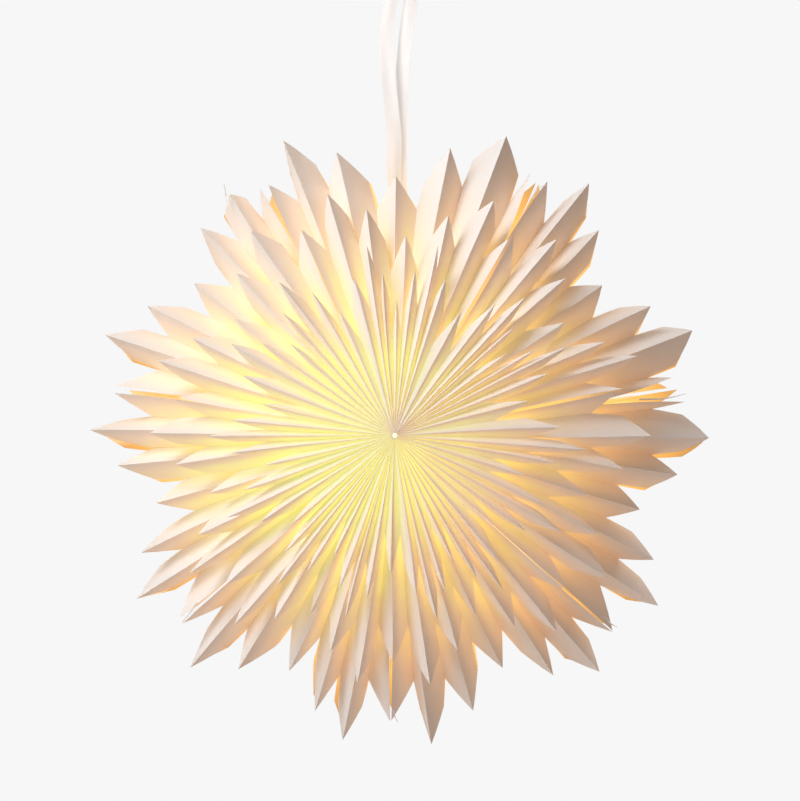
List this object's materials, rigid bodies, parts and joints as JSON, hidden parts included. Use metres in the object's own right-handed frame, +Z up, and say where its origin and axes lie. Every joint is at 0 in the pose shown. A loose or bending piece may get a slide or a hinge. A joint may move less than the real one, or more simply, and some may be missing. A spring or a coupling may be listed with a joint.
{
  "type": "star pendant lamp",
  "caption": "Fold-out starburst lantern of nested pleated paper fans round a screw lamp, hung on a loop of flat ribbon.",
  "frame": {"origin": "centre of the hanging ring's round eye, from which the whole lantern hangs", "axes": "+Z up, +Y along the star's own axis from its front to its back, +X to the right seen from the front"},
  "size_m": [0.6, 0.256, 0.7633],
  "materials": {
    "star_paper": "uncoated white card, lit warm from inside",
    "eyelet_card": "white card",
    "strap_card": "stiff white card",
    "clip_plastic": "white moulded plastic",
    "ribbon": "white woven ribbon with a satin face",
    "ring_steel": "brushed steel",
    "yoke_wire": "white powder coat",
    "holder_plastic": "white moulded plastic",
    "contact_brass": "bright brass",
    "lamp_cap_metal": "rolled bright metal",
    "lamp_glass": "clear glass",
    "lamp_filament": "yellow coated light strips, lit"
  },
  "bodies": {
    "hanger": {"hanging_ring": "ring_steel"},
    "ribbon_loop": {"hanging_ribbon": "ribbon"},
    "star": {"section_1_front_outer_fan": "star_paper", "section_1_front_middle_fan": "star_paper", "section_1_front_inner_fan": "star_paper", "section_1_back_outer_fan": "star_paper", "section_1_back_middle_fan": "star_paper", "section_1_back_inner_fan": "star_paper", "section_2_front_outer_fan": "star_paper", "section_2_front_middle_fan": "star_paper", "section_2_front_inner_fan": "star_paper", "section_2_back_outer_fan": "star_paper", "section_2_back_middle_fan": "star_paper", "section_2_back_inner_fan": "star_paper", "section_3_front_outer_fan": "star_paper", "section_3_front_middle_fan": "star_paper", "section_3_front_inner_fan": "star_paper", "section_3_back_outer_fan": "star_paper", "section_3_back_middle_fan": "star_paper", "section_3_back_inner_fan": "star_paper", "section_4_front_outer_fan": "star_paper", "section_4_front_middle_fan": "star_paper", "section_4_front_inner_fan": "star_paper", "section_4_back_outer_fan": "star_paper", "section_4_back_middle_fan": "star_paper", "section_4_back_inner_fan": "star_paper", "section_5_front_outer_fan": "star_paper", "section_5_front_middle_fan": "star_paper", "section_5_front_inner_fan": "star_paper", "section_5_back_outer_fan": "star_paper", "section_5_back_middle_fan": "star_paper", "section_5_back_inner_fan": "star_paper", "section_6_front_outer_fan": "star_paper", "section_6_front_middle_fan": "star_paper", "section_6_front_inner_fan": "star_paper", "section_6_back_outer_fan": "star_paper", "section_6_back_middle_fan": "star_paper", "section_6_back_inner_fan": "star_paper", "section_7_front_outer_fan": "star_paper", "section_7_front_middle_fan": "star_paper", "section_7_front_inner_fan": "star_paper", "section_7_back_outer_fan": "star_paper", "section_7_back_middle_fan": "star_paper", "section_7_back_inner_fan": "star_paper", "closing_clips": "clip_plastic", "front_eyelet": "eyelet_card", "back_eyelet": "eyelet_card", "hanging_strap": "strap_card", "wire_yoke": "yoke_wire", "carrier_ring": "yoke_wire", "lamp_holder_body": "holder_plastic", "lamp_holder_dome": "holder_plastic", "cord_inlet": "holder_plastic", "contact_shell": "contact_brass", "centre_contact": "contact_brass"},
    "holder_ring": {"shade_ring": "holder_plastic"},
    "lamp": {"lamp_cap": "lamp_cap_metal", "lamp_globe": "lamp_glass", "lamp_stem": "lamp_glass", "lamp_filaments": "lamp_filament"}
  },
  "joints": [
    {"name": "ribbon_swing", "type": "hinge", "parent": "hanger", "child": "ribbon_loop", "pos_m": [0, 0, -0.021], "axis": [1, 0, 0], "range_deg": [-35, 35]},
    {"name": "star_turn", "type": "hinge", "parent": "ribbon_loop", "child": "star", "pos_m": [0, 0, -0.246], "axis": [0, 0, 1], "range_deg": [-180, 180], "deforming": ["hanging_ribbon"]},
    {"name": "shade_ring_turn", "type": "hinge", "parent": "star", "child": "holder_ring", "pos_m": [0, 0, -0.392], "axis": [0, 0, 1], "continuous": true},
    {"name": "lamp_turn", "type": "hinge", "parent": "star", "child": "lamp", "pos_m": [0, 0, -0.402], "axis": [0, 0, 1], "continuous": true}
  ]
}
